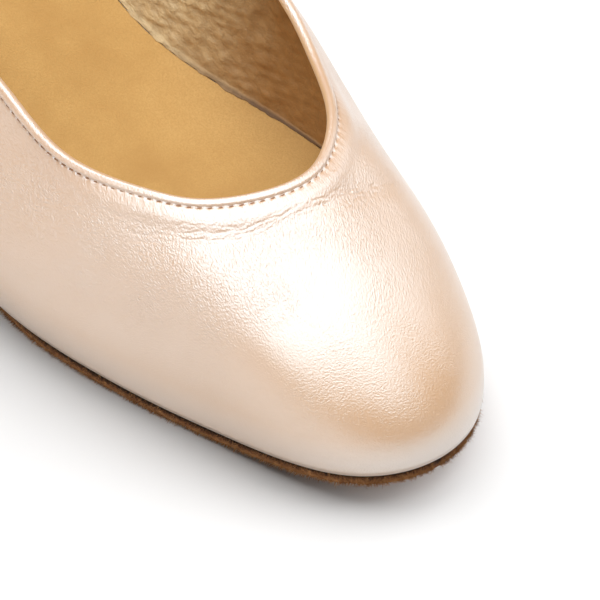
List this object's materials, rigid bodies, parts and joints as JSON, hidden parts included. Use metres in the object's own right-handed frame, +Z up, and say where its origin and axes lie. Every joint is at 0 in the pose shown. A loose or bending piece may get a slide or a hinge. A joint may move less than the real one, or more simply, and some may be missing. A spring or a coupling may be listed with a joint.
{
  "type": "dance shoe",
  "caption": "Right court dance shoe with a closed round toe, pearl leather upper open at the collar, bound topline, thin suede sole and a covered flared heel.",
  "frame": {"origin": "middle of the shoe's box, on the floor it stands on", "axes": "+X towards the toe, +Y towards the inner (big toe) side, +Z up"},
  "size_m": [0.2366, 0.0862, 0.1039],
  "materials": {
    "pearl_leather": "pearl, fine grain",
    "binding_leather": "pearl, folded edge",
    "insole_suede": "suede, matt",
    "sole_suede": "suede, matt",
    "heel_cover": "pearl, fine grain",
    "top_piece": "matt"
  },
  "bodies": {
    "root": {"upper": "pearl_leather", "topline_binding": "binding_leather", "insole": "insole_suede", "outsole": "sole_suede", "heel": "heel_cover", "heel_top_piece": "top_piece"}
  },
  "joints": []
}
